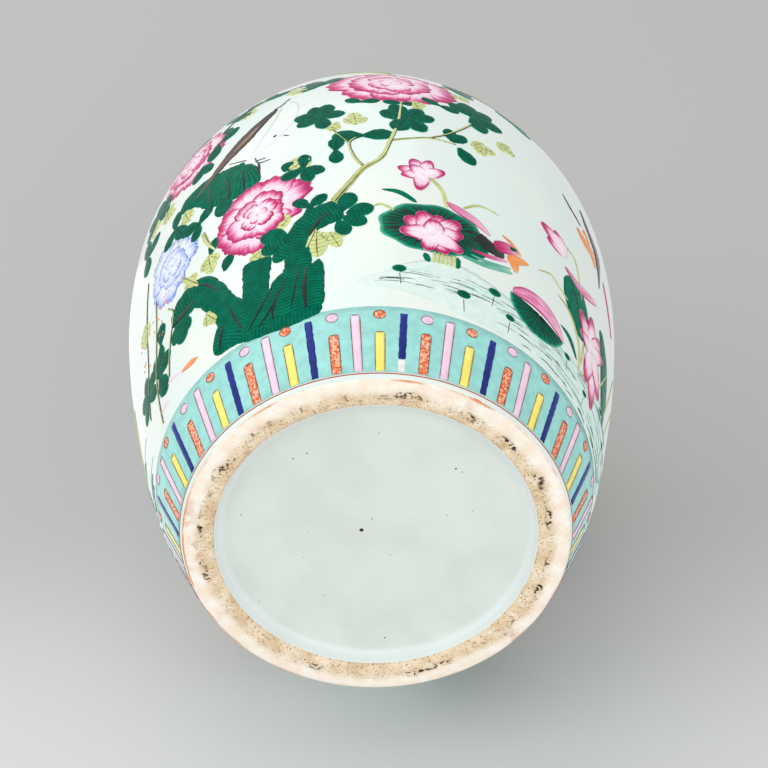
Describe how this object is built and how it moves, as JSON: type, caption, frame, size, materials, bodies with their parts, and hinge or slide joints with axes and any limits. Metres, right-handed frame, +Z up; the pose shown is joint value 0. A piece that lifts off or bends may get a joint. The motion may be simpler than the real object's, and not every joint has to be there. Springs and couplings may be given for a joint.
{
  "type": "ginger jar",
  "caption": "Ovoid porcelain jar on a wide foot ring with a short upright neck and a domed cap cover that lifts off.",
  "frame": {"origin": "centre of the plane that the foot ring stands on", "axes": "+Z up along the jar's turning axis, -Y towards the side of the body with the lotus pond"},
  "size_m": [0.2628, 0.2628, 0.368],
  "materials": {
    "body_glaze": "gloss",
    "cover_glaze": "gloss",
    "overglaze_enamel": "gloss"
  },
  "bodies": {
    "jar": {"jar_body": "body_glaze"},
    "cover": {"cap_cover": "cover_glaze"}
  },
  "joints": [
    {"name": "cover_lift", "type": "slide", "parent": "jar", "child": "cover", "axis": [0, 0, 1], "range_m": [0, 0.12]}
  ]
}
